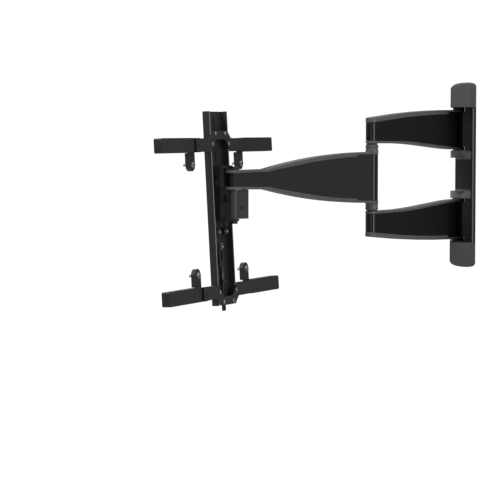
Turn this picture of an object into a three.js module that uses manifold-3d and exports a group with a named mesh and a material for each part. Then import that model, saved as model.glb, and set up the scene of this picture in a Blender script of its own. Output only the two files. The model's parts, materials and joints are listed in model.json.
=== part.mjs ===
// A full-motion wall mount for a television: a wall plate, a pair of arms, a forearm and a tilting head.
// Millimetres, +Z up. The origin is the centre of the wall plate's back face, the wall is the plane Y = 0
// and the room is on the -Y side. The arms' mid-plane is Z = 0.
import * as THREE from 'three';
import { mergeVertices } from 'three/addons/utils/BufferGeometryUtils.js';
import Module from 'manifold-3d';

const wasm = await Module();
wasm.setup();

// ---------------------------------------------------------------- driving dimensions
const GAP = 0.3; // clearance between neighbouring pieces
const STEEL = 2.5; // thickness of the pressed steel parts

const PLATE = { half: 72.5, edge: 7, skin: 3, end: 180, ribHalf: 22 };
const COVER = {
  inner: 137.5, outer: 187.5, half: 75, wall: 2, round: 4, back: -0.5,
  band: -10.5, bandInset: 1, pinHole: 12.2, notch: 3.4, notchPitch: 8, notches: 5,
};
// The crown of a cover's outer end: the distance from the wall, and the drop below the cover's full length.
const CROWN = [
  [-0.5, 6], [-3, 2.6], [-9, 0.7], [-17, 0], [-26, 0.4], [-34, 1.4], [-42, 3.2], [-48, 6.4], [-52, 11.5],
];
const BLOCK = {
  halfWidth: 17, depth: 42, low: 34, high: 49, noseRadius: 16, footHalf: 30, boss: 11.5, bossTop: 50.6,
};
const FLARE_Y = -29; // the axis of the flares between the block's web and its knuckles
const LUG = { low: 141, high: 150, radius: 13, footHalf: 20 };
const BOLT = { x: 48, z: 163, hole: 4.6, shank: 4, head: 6.5, washer: 9 };
const INFILL = {
  half: 34, front: -23.1, low: 49.4, high: 137.2, skin: 2.2,
  noseHalf: 28, noseFront: -27.5, noseLow: 56.8, noseHigh: 127.9, noseGap: 0.6,
};

const SHOULDER_Y = -36; // the shoulder axis stands this far off the wall
const ARM_LENGTH = 330; // shoulder axis to elbow axis
const FOREARM_LENGTH = 327; // elbow axis to pan axis
const ARM_HEADING = -30; // degrees from +X, about +Z
const FOREARM_HEADING = -48.07;
const HEAD_HEADING = -19.35;
const HEAD_TILT = 3.2; // degrees, the screen's lower edge towards the wall

const RAIL_RADIUS = 12.6; // half the width of a rail, which is also its end radius
const PANEL_FACE = 11.7; // a side panel's outer face, from the arm's mid-plane
const PANEL_SKIN = 1.6;
const CORE_HALF = 7; // half thickness of the steel cores
const BARREL_RADIUS = 9.7; // hinge barrels at the ends of the cores
const PIN_RADIUS = 5; // shoulder pins, elbow shaft and pan shaft
const PIN_BORE = 5.3;
const NECK = { start: 258, half: 18.9, flare: 49 }; // the forearm's slim part and its height at the elbow

const TV_TO_PAN = 41; // the screen's back plane to the pan axis
const TILT_AXIS = { n: 14, z: -6 }; // n is the distance from the screen's back plane
const BARREL = {
  top: -18.4, bottom: -72, radius: 9.5, web: 29, webHalf: 6.2, screwAt: 13, screwZ: -52, screwRadius: 2.2,
};
const YOKE = { low: 18.2, high: 21, bottomLow: -76, bottomHigh: -72.7, noseRadius: 10 };
const SPINE = { front: -18, back: -20.5, half: 17, ear: 21, earTop: 26, earBottom: -14, earEdge: -11.8 };
const CARRIAGE = { low: 4.8, high: 6.9, half: 24.5, below: 14, above: 22 };
const AXLE = { radius: 3.5, bore: 3.8, ring: 6.4, head: 6, half: 27.5 };
const ROLL_Z = 6; // the screen is levelled about a stud through the column's web at this height

const COLUMN = { halfWidth: 37, web: 2, rim: 15.9, top: 126, bottom: -231 };
const CROSS = { upper: 64, lower: -205, reach: 100, half: 12.25, low: 16.2, high: 18.4 };
// The cross plates' screws: across from the middle, and outwards from the plate's centre line.
const CROSS_SCREWS = [[20, 20], [33.5, 1]];
const SLIDE = { inner: 39.5, outer: 222, half: 9.5, low: 6, high: 13.5 };
const END_COVER = { inner: 103, outer: 228, half: 13.25, low: 0.3, high: 16.5 };
const VESA = 100; // half of the 200 mm screw pattern
const VESA_DROP = 34.5; // the pattern's screws lie this far inboard of each crossbar
const LATCH = { x: -1, n: 7, top: -125, foot: -161, rodEnd: -219, lugTop: -186, rod: 2 };
const LEVEL = { x: 15, z: -96, shank: 3, head: 7 };

const COLOURS = {
  grey: { color: 0x56565a, roughness: 0.42, metalness: 0.35 },
  black: { color: 0x1a1a1c, roughness: 0.75, metalness: 0.0 },
  brown: { color: 0x2a2826, roughness: 0.7, metalness: 0.0 },
  gloss: { color: 0x0c0c0d, roughness: 0.12, metalness: 0.0 },
  charcoal: { color: 0x2c2c2e, roughness: 0.6, metalness: 0.3 },
  steel: { color: 0x9c9c9e, roughness: 0.3, metalness: 0.9 },
  plastic: { color: 0x242426, roughness: 0.55, metalness: 0.0 },
};

// ---------------------------------------------------------------- geometry helpers
const ROUND = 6; // half the sides given to each arc of an outline
const BORE = 7; // half the sides of a bore or bar
const FINE = 15; // half the sides of a round surface that shows
const radians = THREE.MathUtils.degToRad;

// A flat outline from [a, b] pairs.
function outline(points) {
  return new THREE.Shape(points.map(([a, b]) => new THREE.Vector2(a, b)));
}

function rectangle(left, right, low, high) {
  return outline([[left, low], [right, low], [right, high], [left, high]]);
}

function disc(a, b, radius) {
  const shape = new THREE.Shape();
  shape.absarc(a, b, radius, 0, 2 * Math.PI, false);
  return shape;
}

// A slot-shaped outline round the segment from a0 to a1 on the line b = 0.
function stadium(a0, a1, radius) {
  const shape = new THREE.Shape();
  shape.absarc(a1, 0, radius, -Math.PI / 2, Math.PI / 2, false);
  shape.absarc(a0, 0, radius, Math.PI / 2, (3 * Math.PI) / 2, false);
  return shape;
}

// An outline with rounded corners, centred on (a, b).
function roundedRectangle(a, b, halfA, halfB, radius) {
  const shape = new THREE.Shape();
  const quarter = Math.PI / 2;
  shape.absarc(a + halfA - radius, b - halfB + radius, radius, -quarter, 0, false);
  shape.absarc(a + halfA - radius, b + halfB - radius, radius, 0, quarter, false);
  shape.absarc(a - halfA + radius, b + halfB - radius, radius, quarter, 2 * quarter, false);
  shape.absarc(a - halfA + radius, b - halfB + radius, radius, 2 * quarter, 3 * quarter, false);
  return shape;
}

// The three ways an outline's own axes and its extrusion can lie in space.
const AXES = {
  x: [[0, 1, 0], [0, 0, 1], [1, 0, 0]],
  y: [[1, 0, 0], [0, 0, 1], [0, -1, 0]],
  z: [[1, 0, 0], [0, 1, 0], [0, 0, 1]],
};

// Two numbers in rising order.
function rising(a, b) {
  return a < b ? [a, b] : [b, a];
}

// A closed mesh as a solid for joining and cutting.
function solid(geometry) {
  geometry.deleteAttribute('normal');
  geometry.deleteAttribute('uv');
  const merged = mergeVertices(geometry, 1e-4);
  const vertProperties = Float32Array.from(merged.attributes.position.array);
  const triVerts = Uint32Array.from(merged.index.array);
  return new wasm.Manifold(new wasm.Mesh({ numProp: 3, vertProperties, triVerts }));
}

// An outline pushed along an axis from low to high; on 'y' and 'z' its first axis is X, on 'x' it is Y.
function slab(shape, axis, low, high, curveSegments = ROUND) {
  const depth = high - low;
  const geometry = new THREE.ExtrudeGeometry(shape, { depth, bevelEnabled: false, curveSegments });
  const [a, b, c] = AXES[axis].map((v) => new THREE.Vector3(...v));
  geometry.applyMatrix4(new THREE.Matrix4().makeBasis(a, b, c));
  geometry.translate(...c.clone().multiplyScalar(axis === 'y' ? -high : low).toArray());
  return solid(geometry);
}

function box(x0, x1, y0, y1, z0, z1) {
  return slab(rectangle(x0, x1, y0, y1), 'z', z0, z1);
}

// An outline in Y and Z pushed along X from -half to half, with rounded edges round both end faces.
function roundedSlab(shape, half, round) {
  const geometry = new THREE.ExtrudeGeometry(shape, {
    depth: 2 * (half - round), bevelThickness: round, bevelSize: round, bevelOffset: -round, bevelSegments: 4,
    curveSegments: ROUND,
  });
  const [a, b, c] = AXES.x.map((v) => new THREE.Vector3(...v));
  geometry.applyMatrix4(new THREE.Matrix4().makeBasis(a, b, c));
  geometry.translate(round - half, 0, 0);
  return solid(geometry);
}

// A round bar along an axis, centred on (a, b) in the outline's plane.
function rod(axis, a, b, radius, low, high, curveSegments = BORE) {
  return slab(disc(a, b, radius), axis, low, high, curveSegments);
}

// A turned piece from [radius, height] pairs, standing along +Z on the point (x, y).
function turned(profile, x, y, segments) {
  const points = profile.map(([radius, height]) => new THREE.Vector2(radius, height));
  const geometry = new THREE.LatheGeometry(points, segments);
  geometry.rotateX(Math.PI / 2);
  geometry.translate(x, y, 0);
  return solid(geometry);
}

function join(...solids) {
  return solids.reduce((sum, next) => sum.add(next));
}

// Adds a solid to a group as a named mesh.
function place(group, name, colour, manifold) {
  const mesh = manifold.getMesh();
  const geometry = new THREE.BufferGeometry();
  geometry.setAttribute('position', new THREE.BufferAttribute(mesh.vertProperties, 3));
  geometry.setIndex(new THREE.BufferAttribute(mesh.triVerts, 1));
  geometry.computeVertexNormals();
  const piece = new THREE.Mesh(geometry, new THREE.MeshStandardMaterial(COLOURS[colour]));
  piece.name = name;
  group.add(piece);
}

// A group hung from another, turned about Z by an angle in degrees.
function turnedGroup(parent, x, y, z, degrees) {
  const group = new THREE.Group();
  group.position.set(x, y, z);
  group.rotation.z = radians(degrees);
  parent.add(group);
  return group;
}

// ---------------------------------------------------------------- wall side
// The pressed wall plate: a shallow tray whose side flanges stand against the wall's face.
function wallPlate() {
  const { half, edge, skin, end, ribHalf } = PLATE;
  const inner = half - STEEL;
  const section = outline([
    [-half, 0], [-half, -edge], [half, -edge], [half, 0],
    [inner, 0], [inner, skin - edge], [-inner, skin - edge], [-inner, 0],
  ]);
  let plate = slab(section, 'z', -end, end);
  plate = join(plate, box(-ribHalf, ribHalf, 1 - edge, 0, -end, end));
  for (const side of [-1, 1]) {
    for (const level of [-1, 1]) {
      plate = plate.subtract(rod('y', side * BOLT.x, level * BOLT.z, BOLT.hole, -edge - 1, 1));
    }
  }
  return plate;
}

// A lag bolt with its washer, driven in from the room side.
function lagBolt(x, z) {
  const face = -PLATE.edge - GAP;
  const hexagon = new THREE.Shape();
  for (let corner = 0; corner < 6; corner += 1) {
    const angle = (corner * Math.PI) / 3;
    const move = corner === 0 ? 'moveTo' : 'lineTo';
    hexagon[move](x + BOLT.head * 1.15 * Math.cos(angle), z + BOLT.head * 1.15 * Math.sin(angle));
  }
  const washer = rod('y', x, z, BOLT.washer, face - 1.6, face);
  const head = slab(hexagon, 'y', face - 7, face - 1.5);
  const shank = rod('y', x, z, BOLT.shank, face - 2, -0.5, 8);
  return join(washer, head, shank);
}

// An end cover: a rounded shell over one end of the plate, open to the wall, with a crowned outer end
// and a hole for the hinge pin in its inner end.
function endCover(sign) {
  const { inner, outer, half, wall, round, back, band, bandInset, pinHole } = COVER;
  const foot = -PLATE.edge - GAP;
  const deepest = CROWN[CROWN.length - 1][0];
  const crown = CROWN.map(([y, drop]) => [y, sign * (outer - drop)]);
  const beyond = sign * (inner - 2 * round);
  const profile = outline([[2 * round, crown[0][1]], ...crown, [deepest, beyond], [2 * round, beyond]]);
  const [low, high] = rising(sign * inner, sign * (outer + 1));
  const kept = box(-half - 1, half + 1, deepest - 1, back, low, high);
  const shell = roundedSlab(profile, half, round).intersect(kept);

  const roof = CROWN.filter(([y]) => y < foot).map(([y, drop]) => (
    [Math.max(y, deepest + wall), sign * (outer - drop - 2 * wall)]
  ));
  const room = outline([
    [foot, sign * (inner + wall)], [foot, roof[0][1]], ...roof, [deepest + wall, sign * (inner + wall)],
  ]);
  const cavity = slab(room, 'x', 1.5 * wall - half, half - 1.5 * wall);
  const seatHalf = PLATE.half + GAP;
  const seat = box(-seatHalf, seatHalf, foot, 1, ...rising(sign * (inner - 1), sign * (PLATE.end + GAP)));
  const hole = rod('z', 0, SHOULDER_Y, pinHole, ...rising(sign * (inner - 4), sign * (inner + 4)), FINE);
  let cover = shell.subtract(cavity.add(seat)).subtract(hole);
  for (const side of [-1, 1]) {
    const [from, to] = rising(side * (half - bandInset), side * (half + 1));
    cover = cover.subtract(box(from, to, band, 1, low - 1, high + 1)).subtract(coverNotches(side, sign));
  }
  return cover;
}

// The row of small notches down one side of a cover, near the wall.
function coverNotches(side, sign) {
  const { outer, half, bandInset, notch, notchPitch, notches } = COVER;
  const [from, to] = rising(side * (half - bandInset - 0.8), side * (half + 1));
  const cuts = [];
  for (let index = 0; index < notches; index += 1) {
    const z = sign * (outer - 13 - index * notchPitch);
    cuts.push(box(from, to, -7.4, -4.2, z - notch / 2, z + notch / 2));
  }
  return join(...cuts);
}

// The plan of a hinge knuckle: a round nose about the shoulder axis, spreading to a foot on the plate.
function knucklePlan(radius, footHalf) {
  const foot = -PLATE.edge - GAP;
  const reach = foot - SHOULDER_Y;
  const shape = new THREE.Shape();
  const angle = Math.atan2(reach - 6, footHalf) * 0.5;
  shape.moveTo(-footHalf, foot);
  shape.lineTo(-footHalf, foot - 6);
  shape.absarc(0, SHOULDER_Y, radius, Math.PI - angle, 2 * Math.PI + angle, false);
  shape.lineTo(footHalf, foot - 6);
  shape.lineTo(footHalf, foot);
  return shape;
}

// The centre hinge block: a web standing off the plate, with a knuckle above and below.
function hingeBlock() {
  const foot = -PLATE.edge - GAP;
  const web = box(-BLOCK.halfWidth, BLOCK.halfWidth, -BLOCK.depth, foot, -BLOCK.low - 1, BLOCK.low + 1);
  const plan = knucklePlan(BLOCK.noseRadius, BLOCK.footHalf);
  let block = web;
  for (const sign of [-1, 1]) {
    const [low, high] = rising(sign * BLOCK.low, sign * BLOCK.high);
    block = block.add(slab(plan, 'z', low, high));
    block = block.add(knuckleFlare(sign));
    const [bossLow, bossHigh] = rising(sign * (BLOCK.high - 1), sign * BLOCK.bossTop);
    block = block.add(rod('z', 0, SHOULDER_Y, BLOCK.boss, bossLow, bossHigh, FINE));
  }
  for (const sign of [-1, 1]) {
    const [low, high] = rising(sign * 30, sign * 60);
    block = block.subtract(rod('z', 0, SHOULDER_Y, PIN_BORE, low, high));
  }
  return block;
}

// The flare from the web into a knuckle: a turned cove, cut off level with the plate and the web's front.
function knuckleFlare(sign) {
  const profile = [
    [0, BLOCK.low - 8], [16.5, BLOCK.low - 8], [17.4, BLOCK.low - 5], [19, BLOCK.low - 2.8],
    [21.4, BLOCK.low - 1], [24.5, BLOCK.low + 0.6], [0, BLOCK.low + 0.6],
  ];
  const flare = turnedAbout(profile, sign, 0, FLARE_Y, 32);
  return flare.intersect(box(-40, 40, -BLOCK.depth, -PLATE.edge - GAP, -BLOCK.high, BLOCK.high));
}

// A hinge lug hidden in a cover, beyond the outer edge of an arm.
function hingeLug(sign) {
  const [low, high] = rising(sign * LUG.low, sign * LUG.high);
  const lug = slab(knucklePlan(LUG.radius, LUG.footHalf), 'z', low, high);
  return lug.subtract(rod('z', 0, SHOULDER_Y, PIN_BORE, low - 1, high + 1));
}

// The infill that closes the space between the arms' ends and the plate: a box behind each arm, open
// towards the plate, whose nose wraps the arm's barrel, and a thin frame that joins the two.
function hingeInfill() {
  const { half, front, low, high, skin, noseHalf, noseFront, noseLow, noseHigh, noseGap } = INFILL;
  const foot = -PLATE.edge - GAP;
  const windowHalf = BLOCK.footHalf + GAP;
  let infill = box(-half, half, foot - skin, foot, -high, high);
  infill = infill.subtract(box(-windowHalf, windowHalf, foot - 2 * skin, foot + 1, -low, low));
  for (const sign of [-1, 1]) {
    infill = infill.add(box(-half, half, front, foot, ...rising(sign * low, sign * high)));
    const nose = box(-noseHalf, noseHalf, noseFront, front + 1, ...rising(sign * noseLow, sign * noseHigh));
    infill = infill.add(nose.subtract(rod('z', 0, SHOULDER_Y, BARREL_RADIUS + noseGap, -high, high, FINE)));
  }
  for (const sign of [-1, 1]) {
    const [from, to] = rising(sign * (low + skin), sign * (high - skin));
    infill = infill.subtract(box(skin - half, half - skin, front + skin, foot + 1, from, to));
  }
  return infill;
}

function buildWallSide(mount) {
  place(mount, 'wall_plate', 'grey', wallPlate());
  place(mount, 'hinge_block', 'grey', hingeBlock());
  place(mount, 'hinge_infill', 'black', hingeInfill());
  place(mount, 'wall_upper_cover', 'grey', endCover(1));
  place(mount, 'wall_lower_cover', 'grey', endCover(-1));
  place(mount, 'upper_hinge_lug', 'black', hingeLug(1));
  place(mount, 'lower_hinge_lug', 'black', hingeLug(-1));
  const corners = [[-1, 1], [1, 1], [-1, -1], [1, -1]];
  corners.forEach(([side, end], index) => {
    place(mount, `lag_bolt_${index + 1}`, 'steel', lagBolt(side * BOLT.x, end * BOLT.z));
  });
}

// ---------------------------------------------------------------- arms
// Each arm is described by its edges: functions of x, the distance from its first hinge axis.
const ARM = {
  length: ARM_LENGTH,
  top: (x) => 132.5 - 17 * (x / ARM_LENGTH) ** 2,
  bottom: (x) => 51 + 14.5 * (1 - (1 - THREE.MathUtils.clamp(x / ARM_LENGTH, 0, 1) ** 2) ** 4),
  topRail: (x) => railDepth(x, 58, 4.2, 8.6),
  bottomRail: () => 4.8,
  stations: [-13, 0, 30, 58, 61.5, 75, 90, 105, 120, 135, 150, 180, 210, 240, 270, 300, 330, 343],
};

// Half the forearm's height: a flare at the elbow that falls to a slim neck.
function forearmHalf(x) {
  if (x < NECK.start) {
    return NECK.flare - (NECK.flare - NECK.half) * (Math.max(x, 0) / NECK.start) ** 2.05;
  }
  return NECK.half - 1.4 * Math.min(1, (x - NECK.start) / 60);
}

// A rail is thin next to a hinge, then steps up over a short slant.
function railDepth(x, stepAt, thin, thick) {
  return thin + (thick - thin) * THREE.MathUtils.clamp((x - stepAt) / 3.5, 0, 1);
}

function forearmRail(x) {
  const taper = THREE.MathUtils.clamp((x - 190) / 75, 0, 1);
  return railDepth(x, 43, 4.2, 7.8) - 3 * taper;
}

const FOREARM = {
  length: FOREARM_LENGTH,
  top: forearmHalf,
  bottom: (x) => -forearmHalf(x),
  topRail: forearmRail,
  bottomRail: forearmRail,
  stations: [
    -13, 0, 20, 43, 46.5, 60, 75, 90, 105, 120, 150, 175, 195, 215, 235, 248, NECK.start, NECK.start + 7, 290,
    FOREARM_LENGTH, 348,
  ],
};

// The strip between two edges, given as functions of x, in the X-Z plane.
function strip(stations, lower, upper, sign) {
  const there = stations.map((x) => [x, sign * lower(x)]);
  const back = stations.map((x) => [x, sign * upper(x)]).reverse();
  return outline([...there, ...back]);
}

// The stations of an arm from one x to another, with both ends included.
function between(arm, from, to) {
  return [from, ...arm.stations.filter((x) => x > from + 1 && x < to - 1), to];
}

// The pieces of one arm. sign is -1 for the arm that hangs below the mid-plane.
function buildArm(group, prefix, arm, sign, options) {
  const { length, stations } = arm;
  const width = RAIL_RADIUS + 1;
  const plan = slab(stadium(0, length + options.overhang, RAIL_RADIUS), 'z', -140, 140, FINE);
  const rail = (lower, upper, holes) => {
    const bar = slab(strip(stations, lower, upper, sign), 'y', -width, width).intersect(plan);
    return holes.reduce((sum, x) => sum.subtract(rod('z', x, 0, PIN_BORE, -141, 141)), bar);
  };
  const floor = (x) => arm.bottom(x) + arm.bottomRail(x);
  const roof = (x) => arm.top(x) - arm.topRail(x);
  place(group, `${prefix}_${options.topName}`, 'grey', rail(roof, arm.top, options.topHoles));
  place(group, `${prefix}_${options.bottomName}`, 'grey', rail(arm.bottom, floor, options.bottomHoles));

  // Everything between the rails stays a gap away from them.
  const inside = (from, to) => (
    strip(between(arm, from, to), (x) => floor(x) + GAP, (x) => roof(x) - GAP, sign)
  );
  const [panelFrom, panelTo] = options.panel;
  for (const [name, y] of [['near_panel', 1], ['far_panel', -1]]) {
    const faces = rising(y * (PANEL_FACE - PANEL_SKIN), y * PANEL_FACE);
    place(group, `${prefix}_${name}`, options.panelColour, slab(inside(panelFrom, panelTo), 'y', ...faces));
  }

  const barrels = join(
    slab(inside(-BARREL_RADIUS - 1, length + BARREL_RADIUS + 1), 'y', -CORE_HALF, CORE_HALF),
    rod('z', 0, 0, BARREL_RADIUS, -140, 140).intersect(slab(inside(-12, 12), 'y', -width, width)),
    rod('z', length, 0, BARREL_RADIUS, -140, 140).intersect(
      slab(inside(length - 12, length + 12), 'y', -width, width),
    ),
  );
  const rounded = slab(stadium(0, length, BARREL_RADIUS), 'z', -140, 140);
  let core = barrels.intersect(rounded);
  for (const x of [0, length]) {
    core = core.subtract(rod('z', x, 0, PIN_BORE, -141, 141));
  }
  place(group, `${prefix}_core`, 'black', core);

  // The glossy elbow cap is a sleeve round the elbow barrel, with a slot where the core runs through it.
  const end = options.elbowAt;
  const sleeve = rod('z', end, 0, PANEL_FACE + GAP, -140, 140, FINE);
  const hollow = rod('z', end, 0, BARREL_RADIUS + GAP, -141, 141);
  const [capFrom, capTo] = options.cap.map((x) => end + x);
  const sleeveWindow = slab(inside(capFrom, capTo), 'y', -width, width);
  const [slotFrom, slotTo] = options.capSlot.map((x) => end + x);
  const coreSlot = box(slotFrom, slotTo, -CORE_HALF - GAP, CORE_HALF + GAP, -140, 140);
  const cap = sleeve.subtract(hollow).intersect(sleeveWindow).subtract(coreSlot);
  place(group, `${prefix}_elbow_cap`, 'gloss', cap);
}

// ---------------------------------------------------------------- hinge pins
// A stepped shoulder pin: it stands in the hinge block, passes the arm's end, fills the space up to the
// cover with a broad shoulder and carries the hidden lug.
function shoulderPin(sign) {
  const arm = ARM.top(0) + GAP;
  const shoulder = COVER.inner + 1.2;
  const profile = [
    [0, 31], [PIN_RADIUS, 31], [PIN_RADIUS, arm], [11.5, arm], [11.5, shoulder], [8, shoulder],
    [8, LUG.low - GAP], [PIN_RADIUS, LUG.low - GAP], [PIN_RADIUS, LUG.high + GAP], [8, LUG.high + GAP],
    [8, LUG.high + 3], [0, LUG.high + 3],
  ];
  return turnedAbout(profile, sign, 0, SHOULDER_Y, 28);
}

// A turned piece built above the mid-plane, or the same piece hung below it.
function turnedAbout(profile, sign, x, y, segments) {
  const points = profile.map(([radius, height]) => [radius, sign * height]);
  return turned(sign > 0 ? points : points.reverse(), x, y, segments);
}

// The collar between the forearm and an arm: it grows out of the rail, narrows, and ends in a rim and a neck.
function elbowCollar(sign) {
  const foot = NECK.flare + GAP;
  const top = ARM.bottom(ARM_LENGTH) - GAP;
  const profile = [
    [PIN_BORE, foot], [12.5, foot], [12.1, foot + 1.4], [11.7, foot + 3.6], [11.6, foot + 6.2],
    [11.8, foot + 8.8], [12.3, foot + 9.8], [12.4, foot + 12.2], [11.9, foot + 12.9], [10.2, foot + 12.9],
    [10.2, top], [PIN_BORE, top], [PIN_BORE, foot],
  ];
  return turnedAbout(profile, sign, 0, 0, 30);
}

function elbowShaft() {
  const end = ARM.top(ARM_LENGTH) - ARM.topRail(ARM_LENGTH) - 3 * GAP;
  return rod('z', 0, 0, PIN_RADIUS, -end, end);
}

// ---------------------------------------------------------------- pan joint
// The pan barrel under the forearm's tip: a tube with a gusset towards the elbow and a set-screw hole.
function panBarrel() {
  const x = FOREARM_LENGTH;
  const { top, bottom, radius, webHalf, screwAt, screwZ, screwRadius } = BARREL;
  const tube = rod('z', x, 0, radius, bottom, top, FINE);
  const web = box(x - BARREL.web, x, -webHalf, webHalf, bottom, top);
  const bore = rod('z', x, 0, PIN_BORE, bottom - 1, top + 1);
  const setScrew = rod('y', x - screwAt, screwZ, screwRadius, webHalf - 5, webHalf + 1);
  return tube.add(web).subtract(bore).subtract(setScrew);
}

function panShaft() {
  const profile = [
    [0, YOKE.bottomLow - 5], [7, YOKE.bottomLow - 5], [7, YOKE.bottomLow - GAP],
    [PIN_RADIUS, YOKE.bottomLow - GAP], [PIN_RADIUS, YOKE.high + GAP], [7, YOKE.high + GAP],
    [7, YOKE.high + 2.4], [5.5, YOKE.high + 3.4], [0, YOKE.high + 3.4],
  ];
  return turned(profile, 0, 0, 20);
}

// The tilt bracket hangs on the pan shaft by two lugs and holds the tilt axle between its ears.
function tiltBracket() {
  const tiltY = TILT_AXIS.n - TV_TO_PAN;
  const { earTop, earBottom, earEdge } = SPINE;
  const spine = box(-SPINE.half, SPINE.half, SPINE.back, SPINE.front, YOKE.bottomLow, YOKE.high);
  const shoulders = box(-SPINE.ear, SPINE.ear, SPINE.back, SPINE.front, earBottom, earTop);
  const nose = new THREE.Shape();
  nose.moveTo(-YOKE.noseRadius, SPINE.back);
  nose.lineTo(YOKE.noseRadius, SPINE.back);
  nose.absarc(0, 0, YOKE.noseRadius, 0, Math.PI, false);
  let bracket = join(
    spine,
    shoulders,
    slab(nose, 'z', YOKE.low, YOKE.high),
    slab(nose, 'z', YOKE.bottomLow, YOKE.bottomHigh),
  );
  bracket = bracket.subtract(rod('z', 0, 0, PIN_BORE, -90, 40));
  const ear = outline([
    [tiltY, earTop], [earEdge - 2, earTop], [earEdge, earTop - 2], [earEdge, earBottom],
    [earEdge - 7, earBottom], [tiltY, earBottom + 11],
  ]);
  for (const sign of [-1, 1]) {
    const sides = rising(sign * (SPINE.ear - STEEL), sign * SPINE.ear);
    bracket = bracket.add(slab(ear, 'x', ...sides));
    bracket = bracket.add(rod('x', tiltY, TILT_AXIS.z, AXLE.ring, ...sides));
    bracket = bracket.subtract(rod('x', tiltY, TILT_AXIS.z, AXLE.bore, sides[0] - 1, sides[1] + 1, 8));
  }
  return bracket;
}

// ---------------------------------------------------------------- tilting head
// In the head's frame x runs towards the near side, y is n, the distance from the screen's back plane,
// and z is the height over the arms' mid-plane.
// The tilt carriage: a plate riveted to the column by a roll stud, with two ears on the tilt axle.
function tiltCarriage() {
  const { n, z } = TILT_AXIS;
  const { low, high, half, below, above } = CARRIAGE;
  let carriage = box(-half, half, low, high, z - below, z + above);
  const ear = rectangle(low, n, z - 8, z + 8);
  for (const sign of [-1, 1]) {
    const [from, to] = rising(sign * (half - STEEL), sign * half);
    carriage = carriage.add(slab(ear, 'x', from, to)).add(rod('x', n, z, 8, from, to));
    carriage = carriage.subtract(rod('x', n, z, AXLE.bore, from - 1, to + 1, 8));
  }
  const stud = rod('y', 0, ROLL_Z, 4, 1, high);
  const rivetHead = rod('y', 0, ROLL_Z, 7.5, 0.3, COLUMN.web - GAP);
  return join(carriage, stud, rivetHead);
}

// A turned piece along X, from [radius, x] pairs.
function turnedAlongX(profile, y, z, segments = 16) {
  const geometry = new THREE.LatheGeometry(profile.map(([r, h]) => new THREE.Vector2(r, h)), segments);
  geometry.rotateZ(-Math.PI / 2);
  geometry.translate(0, y, z);
  return solid(geometry);
}

// A turned piece along Y, from [radius, y] pairs.
function turnedAlongY(profile, x, z, segments = 16) {
  const geometry = new THREE.LatheGeometry(profile.map(([r, h]) => new THREE.Vector2(r, h)), segments);
  geometry.translate(x, 0, z);
  return solid(geometry);
}

function tiltAxle() {
  const { radius, head, half } = AXLE;
  const neck = CARRIAGE.half + GAP;
  const profile = [
    [0, -half], [head, -half], [head, -neck], [radius, -neck], [radius, neck], [head, neck], [head, half],
    [0, half],
  ];
  return turnedAlongX(profile, TILT_AXIS.n - TV_TO_PAN, TILT_AXIS.z);
}

// The vertical channel behind the screen, open towards the wall.
function headColumn() {
  const { halfWidth, web, rim, top, bottom } = COLUMN;
  const inner = halfWidth - STEEL;
  const section = outline([
    [-halfWidth, web], [halfWidth, web], [halfWidth, rim], [inner, rim],
    [inner, web + STEEL], [-inner, web + STEEL], [-inner, rim], [-halfWidth, rim],
  ]);
  const lug = box(LATCH.x - 8, LATCH.x + 8, web + 1, LATCH.n + 4.6, LATCH.lugTop - 4, LATCH.lugTop);
  let column = slab(section, 'z', bottom, top).add(lug);
  const rodHole = rod('z', LATCH.x, LATCH.n, LATCH.rod + GAP, LATCH.lugTop - 6, LATCH.lugTop + 2, 6);
  column = column.subtract(rodHole);
  column = column.subtract(rod('y', 0, ROLL_Z, 4.5, web - 1, web + 4));
  for (const z of [100, 45, -60, -145]) {
    column = column.subtract(slab(roundedRectangle(0, z, 5, 13, 4.9), 'y', web - 1, web + 3, 2));
  }
  for (const sign of [-1, 1]) {
    column = column.subtract(rod('y', sign * LEVEL.x, LEVEL.z, LEVEL.shank + GAP, web - 1, web + 4, 6));
    for (const [centre, outward] of [[CROSS.upper, 1], [CROSS.lower, -1]]) {
      column = column.add(screwLips(sign, centre, outward));
    }
  }
  return column;
}

// The channel's inward lips that take one side's screws of a cross plate.
function screwLips(sign, centre, outward) {
  const lips = CROSS_SCREWS.map(([across, out]) => {
    const [from, to] = rising(sign * (across - 5), sign * (COLUMN.halfWidth - 1));
    const z = centre + outward * out;
    return box(from, to, COLUMN.rim - STEEL, COLUMN.rim, z - 5, z + 5);
  });
  return join(...lips);
}

// A level-adjusting screw with a low domed head, through the column's web.
function levelScrew(x) {
  const profile = [
    [0, 1.2], [LEVEL.shank, 1.2], [LEVEL.shank, 9], [LEVEL.head, 9], [LEVEL.head, 12.4], [5.4, 14.2],
    [2.6, 15], [0, 15],
  ];
  return turnedAlongY(profile, x, LEVEL.z);
}

// A strap across the channel with two slanted slots.
function bridgePlate() {
  const half = COLUMN.halfWidth - STEEL - GAP;
  let strap = slab(rectangle(-half, half, -87.5, -77.8), 'y', 8, 8 + STEEL);
  for (const x of [-11, 9]) {
    const slot = outline([[x - 6, -86], [x - 1, -86], [x + 8, -79.3], [x + 3, -79.3]]);
    strap = strap.subtract(slab(slot, 'y', 7, 12));
  }
  return strap;
}

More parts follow.
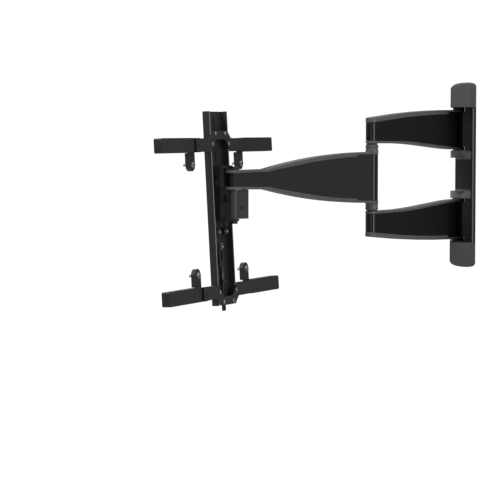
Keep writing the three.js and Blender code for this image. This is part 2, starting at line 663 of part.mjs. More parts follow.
// The gull-shaped plate on the channel's rims, with a channel-shaped wing for the slides on each side.
// outward is +1 for the upper plate, whose middle tab points up, and -1 for the lower one.
function crossPlate(centre, outward) {
  const { reach, half, low, high } = CROSS;
  const edge = [
    [reach, half], [44, half], [31, 24], [28, 26], [-28, 26], [-31, 24], [-44, half], [-reach, half],
    [-reach, -half], [-40, -half], [-19, 10], [19, 10], [40, -half], [reach, -half],
  ];
  const raised = edge.map(([x, out]) => [x, centre + outward * out]);
  let plate = slab(outline(raised), 'y', low, high);
  for (const sign of [-1, 1]) {
    const [from, to] = rising(sign * 40, sign * reach);
    for (const side of [-1, 1]) {
      const [bottom, top] = rising(side * (half - 2), side * half);
      plate = plate.add(box(from, to, SLIDE.low + 3.6, low + 1, centre + bottom, centre + top));
    }
    for (const [across, out] of CROSS_SCREWS) {
      plate = plate.subtract(rod('y', sign * across, centre + outward * out, 2.6, low - 1, high + 1, 6));
    }
  }
  const collar = box(reach - 15, reach, low, high + 1, centre - 13, centre + 13);
  const slot = box(reach - 9.5, reach - 7.5, high, high + 2, centre - 4, centre + 4);
  return plate.add(collar).subtract(slot);
}

// ---------------------------------------------------------------- extender arms
// A slide: a C-section bar with a dog-leg tab that carries one of the screen's screws.
function extenderSlide(side, centre, outward) {
  const { inner, outer, half, low, high } = SLIDE;
  const section = outline([
    [low, -half], [high, -half], [high, half], [low, half],
    [low, half - 2], [high - 2, half - 2], [high - 2, 2 - half], [low, 2 - half],
  ].map(([n, z]) => [n, centre + z]));
  const [from, to] = rising(side * inner, side * outer);
  const screwZ = centre - outward * VESA_DROP;
  const start = centre - outward * (half - 1);
  const tabStart = centre - outward * (END_COVER.half + GAP);
  const tab = tabOutline(side, start, screwZ, 12);
  const rim = slab(tabOutline(side, tabStart, screwZ, 12), 'y', 0.2, 7);
  const hollow = slab(tabOutline(side, tabStart + outward, screwZ, 10), 'y', -1, 6);
  const boss = rod('y', side * VESA, screwZ, 7, 0, 7);
  const hole = rod('y', side * VESA, screwZ, 3.3, -1, 9, 8);
  const slide = slab(section, 'x', from, to);
  return slide.add(slab(tab, 'y', 6, 8)).add(rim.subtract(hollow)).add(boss).subtract(hole);
}

// A tongue from a straight start to a round end about the screw.
function tabOutline(side, start, screwZ, half) {
  const shape = new THREE.Shape();
  const x = side * VESA;
  const down = screwZ < start;
  shape.moveTo(x + half, start);
  shape.lineTo(x - half, start);
  shape.absarc(x, screwZ, half, Math.PI, down ? 2 * Math.PI : 0, !down);
  return shape;
}

// The plastic sleeve on the outer part of a slide, closed at its outer end.
function extenderCover(side, centre, outward) {
  const { inner, outer, half, low, high } = END_COVER;
  const middle = (side * (inner + outer)) / 2;
  const halfLength = (outer - inner) / 2;
  const shell = slab(roundedRectangle(middle, centre, halfLength, half, 3), 'y', low, high, 3);
  const [from, to] = rising(side * (inner - 1), side * (outer - 3));
  const play = 0.75;
  const cavity = box(
    from, to, SLIDE.low - play, SLIDE.high + play, centre - SLIDE.half - play, centre + SLIDE.half + play,
  );
  const [notchFrom, notchTo] = rising(side * (inner - 1), side * (VESA + 13));
  const [notchLow, notchHigh] = rising(-outward * (SLIDE.half - 1), -outward * (half + 1));
  const notch = box(notchFrom, notchTo, -1, 8.4, centre + notchLow, centre + notchHigh);
  const mark = Math.max(side * inner, side * outer) - 7;
  const slot = box(mark - 0.9, mark + 0.9, high - 0.8, high + 1, centre - 3.5, centre + 3.5);
  return shell.subtract(cavity).subtract(notch).subtract(slot);
}

// A pan-head screw with a washer, as driven into the screen.
function vesaScrew(side, z) {
  const profile = [
    [0, -9], [2.9, -9], [2.9, 8.3], [6.4, 8.3], [6.4, 9.5], [5.2, 9.5], [5.2, 11], [3.4, 12.4], [0, 12.4],
  ];
  return turnedAlongY(profile, side * VESA, z);
}

// ---------------------------------------------------------------- latch
// The latch slider: a plate with a window, and a rod down to the pull tab.
function latchSlider() {
  const { x, n, top, foot, rodEnd, rod: radius } = LATCH;
  const outside = roundedRectangle(x + 1, (top + foot) / 2, 10, (top - foot) / 2, 2);
  const plate = slab(outside, 'y', n - 1.5, n + 1.5, 3);
  const opening = box(x - 1.5, x + 4.5, n - 3, n + 3, foot + 12, top - 7);
  return plate.subtract(opening).add(rod('z', x, n, radius, rodEnd, foot + 4, 6));
}

function latchSpring() {
  const { x, n, foot, lugTop } = LATCH;
  const tube = rod('z', x, n, 2.4, lugTop + GAP, foot - GAP, 6);
  return tube.subtract(rod('z', x, n, LATCH.rod + 0.2, lugTop - 1, foot + 1, 6));
}

function pullTab() {
  const { x, n, rodEnd } = LATCH;
  const tab = slab(roundedRectangle(x, rodEnd - 12, 6, 11.7, 2.5), 'y', n - 1.3, n + 1.3, 2);
  return tab.subtract(rod('y', x, rodEnd - 17, 2.6, 0, 12));
}

// ---------------------------------------------------------------- assembly
const mount = new THREE.Group();
buildWallSide(mount);

const shoulder = turnedGroup(mount, 0, SHOULDER_Y, 0, ARM_HEADING);
for (const [prefix, sign] of [['upper_arm', 1], ['lower_arm', -1]]) {
  buildArm(shoulder, prefix, ARM, sign, {
    topName: 'outer_rail',
    bottomName: 'inner_rail',
    topHoles: [0],
    bottomHoles: [0, ARM_LENGTH],
    overhang: 0,
    panel: [31, ARM_LENGTH + 0.3],
    panelColour: 'black',
    elbowAt: ARM_LENGTH,
    cap: [0.6, 14],
    capSlot: [-14, 0],
  });
}
place(mount, 'upper_shoulder_pin', 'steel', shoulderPin(1));
place(mount, 'lower_shoulder_pin', 'steel', shoulderPin(-1));

const elbow = turnedGroup(shoulder, ARM_LENGTH, 0, 0, FOREARM_HEADING - ARM_HEADING);
buildArm(elbow, 'forearm', FOREARM, 1, {
  topName: 'upper_rail',
  bottomName: 'lower_rail',
  topHoles: [0, FOREARM_LENGTH],
  bottomHoles: [0, FOREARM_LENGTH],
  overhang: 4.6,
  panel: [8.6, FOREARM_LENGTH + 9],
  panelColour: 'brown',
  elbowAt: 0,
  cap: [-14, 8.3],
  capSlot: [0, 14],
});
place(elbow, 'elbow_shaft', 'steel', elbowShaft());
place(elbow, 'upper_elbow_collar', 'grey', elbowCollar(1));
place(elbow, 'lower_elbow_collar', 'grey', elbowCollar(-1));
place(elbow, 'pan_barrel', 'grey', panBarrel());

const pan = turnedGroup(elbow, FOREARM_LENGTH, 0, 0, HEAD_HEADING - FOREARM_HEADING);
place(pan, 'pan_shaft', 'steel', panShaft());
place(pan, 'tilt_bracket', 'charcoal', tiltBracket());
place(pan, 'tilt_axle', 'steel', tiltAxle());

const tilt = new THREE.Group();
tilt.position.set(0, TILT_AXIS.n - TV_TO_PAN, TILT_AXIS.z);
tilt.rotation.x = radians(HEAD_TILT);
pan.add(tilt);
const head = turnedGroup(tilt, 0, -TILT_AXIS.n, -TILT_AXIS.z, 0);
place(head, 'tilt_carriage', 'charcoal', tiltCarriage());
place(head, 'head_column', 'charcoal', headColumn());
place(head, 'bridge_plate', 'charcoal', bridgePlate());
place(head, 'level_screw_near', 'steel', levelScrew(LEVEL.x));
place(head, 'level_screw_far', 'steel', levelScrew(-LEVEL.x));
place(head, 'latch_slider', 'charcoal', latchSlider());
place(head, 'latch_spring', 'steel', latchSpring());
place(head, 'pull_tab', 'plastic', pullTab());
for (const [level, centre, outward] of [['upper', CROSS.upper, 1], ['lower', CROSS.lower, -1]]) {
  place(head, `${level}_cross_plate`, 'charcoal', crossPlate(centre, outward));
  for (const [side, sign] of [['near', 1], ['far', -1]]) {
    place(head, `${level}_${side}_slide`, 'charcoal', extenderSlide(sign, centre, outward));
    place(head, `${level}_${side}_slide_cover`, 'plastic', extenderCover(sign, centre, outward));
    place(head, `${level}_${side}_vesa_screw`, 'steel', vesaScrew(sign, centre - outward * VESA_DROP));
  }
}

export default mount;
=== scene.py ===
"""Looks for the full-motion screen mount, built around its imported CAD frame.

Blender works in metres, with +Z up and the wall at Y = 0. The sizes of pieces are in millimetres.
"""
import json
import math

import bmesh
import bpy
from mathutils import Matrix, Vector


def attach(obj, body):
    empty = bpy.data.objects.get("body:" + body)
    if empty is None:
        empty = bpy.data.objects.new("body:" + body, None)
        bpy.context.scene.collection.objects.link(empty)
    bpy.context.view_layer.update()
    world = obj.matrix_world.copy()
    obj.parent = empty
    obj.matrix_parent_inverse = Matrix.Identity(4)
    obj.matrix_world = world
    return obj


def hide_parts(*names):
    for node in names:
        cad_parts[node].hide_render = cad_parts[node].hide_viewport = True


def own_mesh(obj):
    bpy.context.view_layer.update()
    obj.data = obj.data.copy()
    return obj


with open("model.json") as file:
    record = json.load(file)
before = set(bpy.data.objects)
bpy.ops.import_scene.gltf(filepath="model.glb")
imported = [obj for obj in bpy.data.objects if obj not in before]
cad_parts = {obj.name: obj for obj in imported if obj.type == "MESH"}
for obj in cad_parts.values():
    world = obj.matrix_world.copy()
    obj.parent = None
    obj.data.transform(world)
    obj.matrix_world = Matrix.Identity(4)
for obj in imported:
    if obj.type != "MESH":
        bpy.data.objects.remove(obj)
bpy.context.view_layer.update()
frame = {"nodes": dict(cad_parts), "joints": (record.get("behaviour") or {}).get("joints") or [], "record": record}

MM = 0.001

# ---------------------------------------------------------------- camera, stage and light, in metres
LENS, SENSOR = 144, 36
CAMERA_PLACE = (4.157, -0.024, 0.092)
CAMERA_HEADING = (-0.9943, -0.1063, 0)
CAMERA_PITCH = 3.445  # degrees downwards
CLIP_END = 50
FLOOR_Z, FLOOR_HALF = -2.5, 9
FLOOR_GLOW = 0.45
FILL = 0.28  # the strength of the even light from all around
BACKDROP = 1.05  # the brightness of the backdrop that the camera sees
CENTRE = (0.32, -0.28, -0.03)  # where the broad lights point

# ---------------------------------------------------------------- sizes of pieces, in millimetres
SIDES = (("near", 1), ("far", -1))
LEVELS = (("upper", 1), ("lower", -1))
TURNED_SIDES, SCREW_SIDES, WIRE_SIDES = 40, 48, 8

# Profiles are (radius, height) pairs. A cross recess is half its length, half its width and its depth.
PLATE_SCREW = [(2.2, -4), (2.2, 0), (3.7, 0.02), (3.8, 0.9), (3.3, 1.8), (2.7, 2.15)]
PLATE_SCREW_CROSS = (1.9, 0.55, 1.1)
SCREEN_SCREW = [
    (2.9, -17.3), (2.9, 0), (6.4, 0.01), (6.4, 1.0), (6.2, 1.2), (5.2, 1.21), (5.3, 2.4), (4.8, 3.5),
    (3.9, 4.1),
]
SCREEN_SCREW_CROSS = (2.9, 0.8, 1.8)
LEVEL_DOME = [(3.0, -1.6), (3.0, 0.2), (2.8, 0.8), (2.2, 1.3), (1.2, 1.6), (0.3, 1.7)]
ELBOW_RING = [
    (10.25, 0), (10.8, 0.2), (10.8, 1.1), (10.4, 1.3), (10.4, 1.5), (10.8, 1.7), (10.8, 2.6), (10.25, 2.8),
]
ELBOW_RING_Z = 62.3

# The bumpers curve round the rails' ends about the shoulder axis; angles are in degrees from the arm.
BUMPER = {"inner": 11.8, "outer": 12.75, "start": 92, "sweep": 176, "steps": 24}
BUMPER_HEIGHTS = (("outer", 128.1, 137.1), ("inner", 49.4, 56.4))

# In the head's frame X points to the near side, Y is the distance from the screen, Z is the height.
TILT_Y, TILT_Z = 14, -6
CROSSES = (("upper", 64, 1), ("lower", -205, -1))  # name, height of the centre line, outward direction
CROSS_FACE = 18.4
CROSS_SCREWS = ((20, 20), (33.5, 1))  # across from the middle, outward from the centre line
CROSS_SCREW_TURNS = (20, 57)  # degrees
VESA, VESA_DROP = 100, 34.5
TAB_FACE = 8.3
SCREEN_SCREW_TURNS = {"near": 31, "far": 8}  # degrees
LEVEL_X, LEVEL_Y, LEVEL_Z = 15, 15.2, -96
LATCH_X, LATCH_Y = -1, 7
SPRING = {"low": -185.6, "high": -161.4, "radius": 3.0, "wire": 0.45, "turns": 9, "steps": 20}
RING = {"half_width": 4.2, "half_height": 5.4, "wire": 0.8, "y": 9.2, "z": -121.6}
LOOP = {"half_width": 2.1, "half_depth": 2.6, "bend": 0.8, "wire": 0.5, "z": -237.6}
WIRE_STEPS = 28
# The thin strips of painted highlight along the channel's two rims.
RIM_HIGHLIGHT_STRIP = {"x": 35.75, "y": 15.95, "half": 1.1, "thick": 0.14, "low": -230.5, "high": 125.5}
SEAL = {"x": 100.4, "width": 2.3}
SEAL_OUTER, SEAL_INNER = (3, 17.3, 12.9), (5.6, 13.9, 9.9)  # low Y, high Y, half the height
PLUG = {"half": 5.04, "reach": 8, "y": 2.5, "thick": 1.2, "steps": 12}
PLUG_HEIGHTS = (100, 45, -60, -145)

# The gusset stands on the tilt bracket's spine, in an upright frame on the pan axis.
GUSSET_OUTLINE = ((-8, -43), (8, -43), (0, -28))
GUSSET_CENTRE = Vector((0, -38))
GUSSET = {"opening": 0.62, "thick": 2.2, "y": -18}

# ---------------------------------------------------------------- edges, in millimetres
USUAL_BEVEL = 0.5
BEVELS = {"grey_rail": 1.1, "charcoal_steel": 0.35, "hinge_block": 1.8}  # by material slot or by node
SHARP_ANGLE = math.radians(35)  # edges of CAD nodes sharper than this are bevelled
FLAT_ANGLE = math.radians(1)  # faces that meet at less than this become one face
CREASE_ANGLE = math.radians(38)  # edges of new pieces sharper than this stay creased
WELD = 0.01
# The nodes that close up the hairline clearances to the rails, by the ends of their names.
CLOSE_FITTING = ("_core", "_near_panel", "_far_panel", "_collar")
SWELL = 0.4

# ---------------------------------------------------------------- places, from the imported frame
JOINTS = {joint["name"]: joint for joint in frame["joints"]}


def joint_point(name):
    return Vector(JOINTS[name]["pos_m"])


def joint_axis(name):
    return Vector(JOINTS[name]["axis"]).normalized()


def at(frame_matrix, x, y, z):
    """A place in a local frame, from millimetres."""
    return frame_matrix @ Matrix.Translation((x * MM, y * MM, z * MM))


def axes_at(origin, x_axis, y_axis):
    """The matrix of a local frame from its origin and its first two axes."""
    z_axis = x_axis.cross(y_axis)
    turn = Matrix((x_axis, y_axis, z_axis)).transposed().to_4x4()
    return Matrix.Translation(origin) @ turn


UP = Vector((0, 0, 1))
SHOULDER = joint_point("shoulder_swing")
ELBOW = joint_point("elbow_swing")
PAN = joint_point("head_pan")
ALONG_ARM = (ELBOW - SHOULDER).normalized()
ARM_FRAME = axes_at(SHOULDER, ALONG_ARM, UP.cross(ALONG_ARM))
HEAD_X = joint_axis("head_tilt")
HEAD_Y = joint_axis("screen_level")
HEAD_FRAME = at(axes_at(joint_point("head_tilt"), HEAD_X, HEAD_Y), 0, -TILT_Y, -TILT_Z)
PAN_FRAME = axes_at(PAN, HEAD_X, UP.cross(HEAD_X))
TO_Y = Matrix.Rotation(math.radians(-90), 4, "X")  # turns a piece built up Z to point along Y


# ---------------------------------------------------------------- shader nodes
MIX_FIRST, MIX_SECOND, MIX_RESULT = 6, 7, 2  # the colour sockets of a Mix node


def shader_of(material):
    return material.node_tree.nodes["Principled BSDF"]


def feed(tree, socket, value):
    """Sets a socket to a number or a colour, or links it to another node's output."""
    if isinstance(value, bpy.types.NodeSocket):
        tree.links.new(value, socket)
    else:
        socket.default_value = value


def computed(tree, operation, *values):
    """The result of a math node."""
    node = tree.nodes.new("ShaderNodeMath")
    node.operation = operation
    for socket, value in zip(node.inputs, values):
        feed(tree, socket, value)
    return node.outputs[0]


def mapped(tree, value, source, target):
    """A value carried from one range to another, and held at the ends of the second."""
    node = tree.nodes.new("ShaderNodeMapRange")
    feed(tree, node.inputs["Value"], value)
    node.inputs["From Min"].default_value, node.inputs["From Max"].default_value = source
    node.inputs["To Min"].default_value, node.inputs["To Max"].default_value = target
    return node.outputs["Result"]


def mixed(tree, factor, first, second):
    """A colour between two others."""
    node = tree.nodes.new("ShaderNodeMix")
    node.data_type = "RGBA"
    feed(tree, node.inputs[0], factor)
    feed(tree, node.inputs[MIX_FIRST], first)
    feed(tree, node.inputs[MIX_SECOND], second)
    return node.outputs[MIX_RESULT]


def own_coordinates(tree):
    return tree.nodes.new("ShaderNodeTexCoord").outputs["Object"]


def noise(tree, scale, detail):
    node = tree.nodes.new("ShaderNodeTexNoise")
    node.inputs["Scale"].default_value = scale
    node.inputs["Detail"].default_value = detail
    feed(tree, node.inputs["Vector"], own_coordinates(tree))
    return node.outputs["Fac"]


# ---------------------------------------------------------------- camera, stage and light
def add_camera():
    """A viewpoint far off to the side, a little above the arms, through a long lens."""
    data = bpy.data.cameras.new("camera")
    data.lens = LENS
    data.sensor_width = SENSOR
    data.clip_end = CLIP_END
    camera = bpy.data.objects.new("camera", data)
    bpy.context.scene.collection.objects.link(camera)
    pitch = math.radians(CAMERA_PITCH)
    look = Vector(CAMERA_HEADING).normalized() * math.cos(pitch) - UP * math.sin(pitch)
    turn = look.to_track_quat("-Z", "Y").to_matrix().to_4x4()
    camera.matrix_world = Matrix.Translation(CAMERA_PLACE) @ turn
    bpy.context.scene.camera = camera


def add_area(name, place, target, size, power):
    """A rectangular light of a width and height in metres and a power in watts, turned to its target."""
    data = bpy.data.lights.new(name, "AREA")
    data.shape = "RECTANGLE"
    data.size, data.size_y = size
    data.energy = power
    light = bpy.data.objects.new(name, data)
    bpy.context.scene.collection.objects.link(light)
    aim = (Vector(target) - Vector(place)).to_track_quat("-Z", "Y").to_matrix().to_4x4()
    light.matrix_world = Matrix.Translation(place) @ aim


def floor_material():
    """White, with a glow that only the camera sees, so that it lights nothing."""
    material = bpy.data.materials.new("floor_white")
    material.use_nodes = True
    tree = material.node_tree
    shader = shader_of(material)
    shader.inputs["Base Color"].default_value = (0.9, 0.9, 0.9, 1)
    shader.inputs["Roughness"].default_value = 0.9
    shader.inputs["Emission Color"].default_value = (1, 1, 1, 1)
    seen = tree.nodes.new("ShaderNodeLightPath").outputs["Is Camera Ray"]
    feed(tree, shader.inputs["Emission Strength"], computed(tree, "MULTIPLY", seen, FLOOR_GLOW))
    return material


def add_stage():
    """A pale floor well below the mount."""
    mesh = bpy.data.meshes.new("floor")
    build = bmesh.new()
    corners = [(-1, -1), (1, -1), (1, 1), (-1, 1)]
    build.faces.new([build.verts.new((FLOOR_HALF * x, FLOOR_HALF * y, FLOOR_Z)) for x, y in corners])
    build.to_mesh(mesh)
    build.free()
    mesh.materials.append(floor_material())
    floor = bpy.data.objects.new("floor", mesh)
    bpy.context.scene.collection.objects.link(floor)


def add_world():
    """A white backdrop for the camera and a softer, even studio fill for everything else."""
    world = bpy.data.worlds.new("studio")
    world.use_nodes = True
    tree = world.node_tree
    fill = tree.nodes["Background"]
    fill.inputs["Color"].default_value = (1, 1, 1, 1)
    fill.inputs["Strength"].default_value = FILL
    white = tree.nodes.new("ShaderNodeBackground")
    white.inputs["Color"].default_value = (1, 1, 1, 1)
    white.inputs["Strength"].default_value = BACKDROP
    seen = tree.nodes.new("ShaderNodeLightPath").outputs["Is Camera Ray"]
    choose = tree.nodes.new("ShaderNodeMixShader")
    for socket, output in zip(choose.inputs, (seen, fill.outputs[0], white.outputs[0])):
        feed(tree, socket, output)
    feed(tree, tree.nodes["World Output"].inputs["Surface"], choose.outputs[0])
    bpy.context.scene.world = world
    bpy.context.scene.view_settings.view_transform = "Standard"


add_camera()
add_stage()
add_world()
add_area("key", (2.2, -2.4, 2.4), CENTRE, (1.6, 1.6), 60)
add_area("top", (0.3, -0.2, 3.0), CENTRE, (2.2, 2.2), 45)
add_area("strip", (2.46, 1.87, 0.1), ELBOW, (0.8, 1.4), 15)
add_area("faint_strip", (3.27, -0.72, 0.1), ELBOW, (0.4, 1.4), 2.2)
add_area("wall_side", (0.9, 2.2, 1.2), PAN, (0.5, 0.5), 14)
add_area("far_side", (-2.3, -2.0, 1.5), CENTRE, (1.4, 1.4), 50)


# ---------------------------------------------------------------- materials
COLOUR_SPREAD = 0.12  # how far the colour strays either way, as a share of itself
CLOUD_SCALE = 25
BUMP_DEPTH = 0.2  # millimetres


def textured(name, colour, roughness, metallic=0.0, grain=900, bump=0.15, rough_spread=0.08, gleam=0.5):
    """A fine-grained coat: noise in colour, roughness and bump; gleam is the strength of its reflections."""
    material = bpy.data.materials.new(name)
    material.use_nodes = True
    tree = material.node_tree
    shader = shader_of(material)
    shader.inputs["Metallic"].default_value = metallic
    shader.inputs["Specular IOR Level"].default_value = gleam

    fine = noise(tree, grain, 3)
    broad = noise(tree, CLOUD_SCALE, 4)
    average = computed(tree, "MULTIPLY_ADD", fine, 0.5, computed(tree, "MULTIPLY", broad, 0.5))
    darker = (*[c * (1 - COLOUR_SPREAD) for c in colour], 1)
    lighter = (*[c * (1 + COLOUR_SPREAD) for c in colour], 1)
    feed(tree, shader.inputs["Base Color"], mixed(tree, average, darker, lighter))
    rough = mapped(tree, broad, (0, 1), (roughness - rough_spread, roughness + rough_spread))
    feed(tree, shader.inputs["Roughness"], rough)

    relief = tree.nodes.new("ShaderNodeBump")
    relief.inputs["Strength"].default_value = bump
    relief.inputs["Distance"].default_value = BUMP_DEPTH * MM
    feed(tree, relief.inputs["Height"], fine)
    feed(tree, shader.inputs["Normal"], relief.outputs["Normal"])
    return material


def darkened(material, dark, axis, near, far):
    """Darkens a coat towards the object's own middle, fully within near of it along an axis, up to far."""
    tree = material.node_tree
    socket = shader_of(material).inputs["Base Color"]
    split = tree.nodes.new("ShaderNodeSeparateXYZ")
    feed(tree, split.inputs[0], own_coordinates(tree))
    distance = computed(tree, "ABSOLUTE", split.outputs[axis])
    share = mapped(tree, distance, (near * MM, far * MM), (0, 1))
    feed(tree, socket, mixed(tree, share, (*dark, 1), socket.links[0].from_socket))


MATERIALS = {
    "grey_cover": textured("grey_cover", (0.075, 0.075, 0.078), 0.42),
    "grey_rail": textured("grey_rail", (0.10, 0.10, 0.103), 0.36),
    "arm_panel": textured("arm_panel", (0.0042, 0.0041, 0.0043), 0.7, grain=1400, bump=0.35, gleam=0.22),
    "forearm_panel": textured(
        "forearm_panel", (0.0175, 0.0169, 0.0154), 0.68, grain=1400, bump=0.35, gleam=0.3),
    "gloss_black": textured("gloss_black", (0.004, 0.004, 0.0042), 0.1, bump=0.02, rough_spread=0.03),
    "black_steel": textured("black_steel", (0.008, 0.008, 0.0085), 0.5),
    "charcoal_steel": textured("charcoal_steel", (0.016, 0.016, 0.017), 0.48, bump=0.25),
    "black_plastic": textured("black_plastic", (0.014, 0.014, 0.015), 0.45),
    "zinc_steel": textured("zinc_steel", (0.34, 0.34, 0.35), 0.33, metallic=1.0),
    "plate_steel": textured("plate_steel", (0.14, 0.127, 0.118), 0.5),
}
# A light coat for the strips along the rims: a painted highlight.
RIM_PAINTED_HIGHLIGHT = textured("rim_painted_highlight", (0.34, 0.33, 0.32), 0.4)
# The nodes whose coat differs from their slot's.
NODE_COATS = {
    # The hinge block's coat is its own grey, made lighter as painted light on its knuckles.
    "hinge_block": textured("block_coat_painted_light_and_shade", (0.21, 0.21, 0.214), 0.42),
    "pan_barrel": textured("barrel_coat", (0.04, 0.04, 0.041), 0.34),
}

# The wall plate is darkened on its face and on the back half of its side edges; only the front half of its side
# edges keeps the plate's colour.
darkened(MATERIALS["plate_steel"], (0.004, 0.004, 0.004), "Y", 4.3, 4.5)
darkened(MATERIALS["plate_steel"], (0.006, 0.006, 0.006), "X", 71.8, 72)
# The hinge block's web between the knuckles is darkened: painted shade in the recess under the overhanging
# knuckles.
darkened(NODE_COATS["hinge_block"], (0.022, 0.022, 0.0225), "Z", 29, 33)


# ---------------------------------------------------------------- the CAD nodes
def soften_edges(node, width):
    """One face for each flat side, then rounded edges."""
    flats = node.modifiers.new("flats", "DECIMATE")
    flats.decimate_type = "DISSOLVE"
    flats.angle_limit = FLAT_ANGLE
    bevel = node.modifiers.new("bevel", "BEVEL")
    bevel.width = width * MM
    bevel.segments = 3
    bevel.limit_method = "ANGLE"
    bevel.angle_limit = SHARP_ANGLE
    bevel.use_clamp_overlap = True
    bevel.harden_normals = True


def dress_cad_nodes():
    """Every carried-over CAD node gets its coat and soft edges."""
    slots = {part["node"]: part["material_slot"] for part in frame["record"]["subparts"]}
    for name, node in frame["nodes"].items():
        mesh = node.data
        mesh.materials.clear()
        mesh.materials.append(NODE_COATS.get(name, MATERIALS[slots[name]]))
        normals = mesh.attributes.get("custom_normal")
        if normals:
            mesh.attributes.remove(normals)
        mesh.polygons.foreach_set("use_smooth", [True] * len(mesh.polygons))
        weld = node.modifiers.new("weld", "WELD")
        weld.merge_threshold = WELD * MM
        if name.endswith(CLOSE_FITTING):
            swell = node.modifiers.new("swell", "DISPLACE")
            swell.strength = SWELL * MM
            swell.mid_level = 0
        soften_edges(node, BEVELS.get(name, BEVELS.get(slots[name], USUAL_BEVEL)))


# ---------------------------------------------------------------- building new pieces
def add_piece(name, build, place, body, slot_name, material=None):
    """A named piece from a bmesh in millimetres, at its place, riding a body."""
    bmesh.ops.recalc_face_normals(build, faces=build.faces)
    bmesh.ops.scale(build, vec=(MM, MM, MM), verts=build.verts)
    mesh = bpy.data.meshes.new(name)
    build.to_mesh(mesh)
    build.free()
    mesh.materials.append(material or MATERIALS[slot_name])
    mesh.polygons.foreach_set("use_smooth", [True] * len(mesh.polygons))
    mesh.set_sharp_from_angle(angle=CREASE_ANGLE)
    piece = bpy.data.objects.new(name, mesh)
    bpy.context.scene.collection.objects.link(piece)
    piece.matrix_world = place
    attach(piece, body)
    return piece


def angles_round(count):
    return [2 * math.pi * step / count for step in range(count)]


def circle(radius, height, count):
    return [(radius * math.cos(a), radius * math.sin(a), height) for a in angles_round(count)]


def bridge(build, first, second):
    """A band of faces between two closed rings of the same length."""
    count = len(first)
    for step in range(count):
        after = (step + 1) % count
        build.faces.new((first[step], first[after], second[after], second[step]))


def shell(loops, closed=False):
    """A piece through equal loops of points, closed on itself or with a flat face at each end."""
    build = bmesh.new()
    rings = [[build.verts.new(point) for point in loop] for loop in loops]
    for first, second in zip(rings, rings[1:]):
        bridge(build, first, second)
    if closed:
        bridge(build, rings[-1], rings[0])
    else:
        build.faces.new(rings[0])
        build.faces.new(rings[-1])
    return build


def turned(profile, closed=False):
    """A piece turned about Z."""
    return shell([circle(radius, height, TURNED_SIDES) for radius, height in profile], closed)


def extruded(outline, depth):
    """A flat plate in X and Z, from Y = 0 to depth."""
    return shell([[(x, y, z) for x, z in outline] for y in (0, depth)])


def swept(points, radius, closed=False):
    """A round wire along points."""
    path = [Vector(point) for point in points]
    last = len(path) - 1
    side = None
    loops = []
    for index, point in enumerate(path):
        before = path[index - 1] if index or closed else point
        after = path[(index + 1) % len(path)] if index < last or closed else point
        along = (after - before).normalized()
        side = side or along.orthogonal()
        side = (side - along * side.dot(along)).normalized()
        other = along.cross(side)
        loops.append([
            point + radius * (side * math.cos(a) + other * math.sin(a)) for a in angles_round(WIRE_SIDES)])
    return shell(loops, closed)


def cross_points(half, width):
    """The outline of a plus sign, twelve points."""
    return [
        (half, -width), (half, width), (width, width), (width, half), (-width, half), (-width, width),
        (-half, width), (-half, -width), (-width, -width), (-width, -half), (width, -half), (width, -width),
    ]


def cross_head_screw(profile, cross, turn):
    """A turned screw whose flat top has a cross recess; profile ends with the rim of the top."""
    half, width, depth = cross
    build = bmesh.new()
    rings = [
        [build.verts.new(point) for point in circle(radius, height, SCREW_SIDES)]
        for radius, height in profile]
    for first, second in zip(rings, rings[1:]):
        bridge(build, first, second)
    build.faces.new(rings[0])
    top = profile[-1][1]
    spin = Matrix.Rotation(math.radians(turn), 2)
    outline = [spin @ Vector(point) for point in cross_points(half, width)]
    lip = [build.verts.new((*point, top)) for point in outline]
    floor = [build.verts.new((*(point * 0.75), top - depth)) for point in outline]
    bridge(build, lip, floor)
    build.faces.new(floor)
    loops = rings[-1], lip
    edges = [build.edges.get((loop[i - 1], loop[i])) for loop in loops for i in range(len(loop))]
    bmesh.ops.triangle_fill(build, use_beauty=True, edges=edges)
    return build


# ---------------------------------------------------------------- new pieces
def add_rail_bumpers():
    """Black bumpers round the rails' ends at the shoulder, from the rail to the block or the cover."""
    inner, outer, steps = BUMPER["inner"], BUMPER["outer"], BUMPER["steps"]
    angles = [math.radians(BUMPER["start"] + BUMPER["sweep"] * step / steps) for step in range(steps + 1)]
    for name, low, high in BUMPER_HEIGHTS:
        corners = [(inner, low), (outer, low), (outer, high), (inner, high)]
        for level, sign in LEVELS:
            build = shell([
                [(radius * math.cos(a), radius * math.sin(a), sign * height) for radius, height in corners]
                for a in angles])
            add_piece(f"{level}_{name}_bumper", build, ARM_FRAME, "arms", "black_plastic")


def add_cross_screws(level, centre, outward, side, sign):
    """One side's two screws of a cross plate."""
    for number, (across, out) in enumerate(CROSS_SCREWS):
        build = cross_head_screw(PLATE_SCREW, PLATE_SCREW_CROSS, CROSS_SCREW_TURNS[number])
        place = at(HEAD_FRAME, sign * across, CROSS_FACE, centre + outward * out) @ TO_Y
        name = f"{level}_{side}_plate_screw_{number + 1}"
        add_piece(name, build, place, "screen_bracket", "zinc_steel")


def add_screen_screw(level, centre, outward, side, sign):
    """The screw through a slide's tab into the screen."""
    build = cross_head_screw(SCREEN_SCREW, SCREEN_SCREW_CROSS, SCREEN_SCREW_TURNS[side])
    place = at(HEAD_FRAME, sign * VESA, TAB_FACE, centre - outward * VESA_DROP) @ TO_Y
    name = f"{level}_{side}_screen_screw"
    screw = add_piece(name, build, place, f"{level}_{side}_extender", "zinc_steel")
    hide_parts(f"{level}_{side}_vesa_screw")


def add_screws():
    for cross in CROSSES:
        for side in SIDES:
            add_cross_screws(*cross, *side)
            add_screen_screw(*cross, *side)


def add_level_domes():
    """The bright domed ends of the levelling screws, standing out of their dark knobs."""
    for side, sign in SIDES:
        place = at(HEAD_FRAME, sign * LEVEL_X, LEVEL_Y, LEVEL_Z) @ TO_Y
        add_piece(f"level_dome_{side}", turned(LEVEL_DOME), place, f"level_{side}", "zinc_steel")


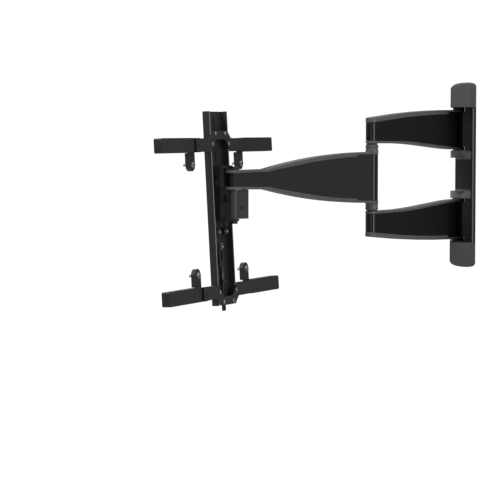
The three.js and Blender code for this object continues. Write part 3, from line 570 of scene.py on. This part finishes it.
def add_latch_spring():
    """The latch's return spring as a coil."""
    low, high, radius = SPRING["low"], SPRING["high"], SPRING["radius"]
    count = SPRING["turns"] * SPRING["steps"]
    coil = []
    for step in range(count + 1):
        angle = 2 * math.pi * step / SPRING["steps"]
        height = low + 0.5 + (high - low - 1) * step / count
        coil.append((radius * math.cos(angle), radius * math.sin(angle), height))
    place = at(HEAD_FRAME, LATCH_X, LATCH_Y, 0)
    spring = add_piece("latch_coil", swept(coil, SPRING["wire"]), place, "screen_bracket", "zinc_steel")
    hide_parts("latch_spring")
    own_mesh(spring)


def add_latch_wires():
    """The wire ring that joins the slider, and the loop in the pull tab."""
    angles = angles_round(WIRE_STEPS)
    width, height = RING["half_width"], RING["half_height"]
    ring = swept([(width * math.cos(a), 0, height * math.sin(a)) for a in angles], RING["wire"], closed=True)
    add_piece("latch_ring", ring, at(HEAD_FRAME, LATCH_X, RING["y"], RING["z"]), "latch", "zinc_steel")
    width, depth, bend = LOOP["half_width"], LOOP["half_depth"], LOOP["bend"]
    points = [(width * math.cos(a), depth * math.sin(a), -bend * math.cos(a)) for a in angles]
    loop = swept(points, LOOP["wire"], closed=True)
    add_piece("pull_loop", loop, at(HEAD_FRAME, LATCH_X, LATCH_Y, LOOP["z"]), "latch", "black_plastic")


def add_rim_painted_highlights():
    """Thin bright strips along the channel's two rims: a painted highlight."""
    half, low, high = RIM_HIGHLIGHT_STRIP["half"], RIM_HIGHLIGHT_STRIP["low"], RIM_HIGHLIGHT_STRIP["high"]
    outline = [(-half, low), (half, low), (half, high), (-half, high)]
    for side, sign in SIDES:
        build = extruded(outline, RIM_HIGHLIGHT_STRIP["thick"])
        place = at(HEAD_FRAME, sign * RIM_HIGHLIGHT_STRIP["x"], RIM_HIGHLIGHT_STRIP["y"], 0)
        add_piece(f"rim_highlight_strip_{side}", build, place, "screen_bracket", "plate_steel", RIM_PAINTED_HIGHLIGHT)


def rectangle_at(x, low, high, half):
    return [(x, low, -half), (x, high, -half), (x, high, half), (x, low, half)]


def add_seals():
    """The dark frames between the cross plates' collars and the slides' covers."""
    for level, centre, _ in CROSSES:
        for side, sign in SIDES:
            reach = sign * SEAL["width"]
            sections = ((0, SEAL_OUTER), (reach, SEAL_OUTER), (reach, SEAL_INNER), (0, SEAL_INNER))
            build = shell([rectangle_at(x, *section) for x, section in sections], closed=True)
            place = at(HEAD_FRAME, sign * SEAL["x"], 0, centre)
            add_piece(f"{level}_{side}_seal", build, place, f"{level}_{side}_extender", "gloss_black")


def add_slot_plugs():
    """Black plugs, sunk a little into the slots down the channel's web."""
    half, reach, steps = PLUG["half"], PLUG["reach"], PLUG["steps"]
    arc = [math.pi * step / steps for step in range(steps + 1)]
    upper = [(half * math.cos(a), reach + half * math.sin(a)) for a in arc]
    outline = upper + [(-x, -z) for x, z in upper]
    for number, height in enumerate(PLUG_HEIGHTS):
        build = extruded(outline, PLUG["thick"])
        place = at(HEAD_FRAME, 0, PLUG["y"], height)
        add_piece(f"slot_plug_{number + 1}", build, place, "screen_bracket", "black_plastic")


def add_gusset():
    """The raised open triangle on the tilt bracket's spine, below its ears."""
    outer = [Vector(point) for point in GUSSET_OUTLINE]
    inner = [GUSSET_CENTRE + (point - GUSSET_CENTRE) * GUSSET["opening"] for point in outer]
    sections = ((0, outer), (GUSSET["thick"], outer), (GUSSET["thick"], inner), (0, inner))
    build = shell([[(x, y, z) for x, z in outline] for y, outline in sections], closed=True)
    add_piece("tilt_gusset", build, at(PAN_FRAME, 0, GUSSET["y"], 0), "pan_head", "charcoal_steel")


def add_elbow_rings():
    """Black bearing rings on the necks between the collars and the arms."""
    for name, sign in LEVELS:
        build = turned(ELBOW_RING, closed=True)
        place = at(Matrix.Translation(ELBOW), 0, 0, sign * ELBOW_RING_Z) @ Matrix.Scale(sign, 4, UP)
        add_piece(f"{name}_elbow_ring", build, place, "forearm", "black_plastic")


dress_cad_nodes()
add_rail_bumpers()
add_screws()
add_level_domes()
add_latch_spring()
add_latch_wires()
add_rim_painted_highlights()
add_seals()
add_slot_plugs()
add_gusset()
add_elbow_rings()
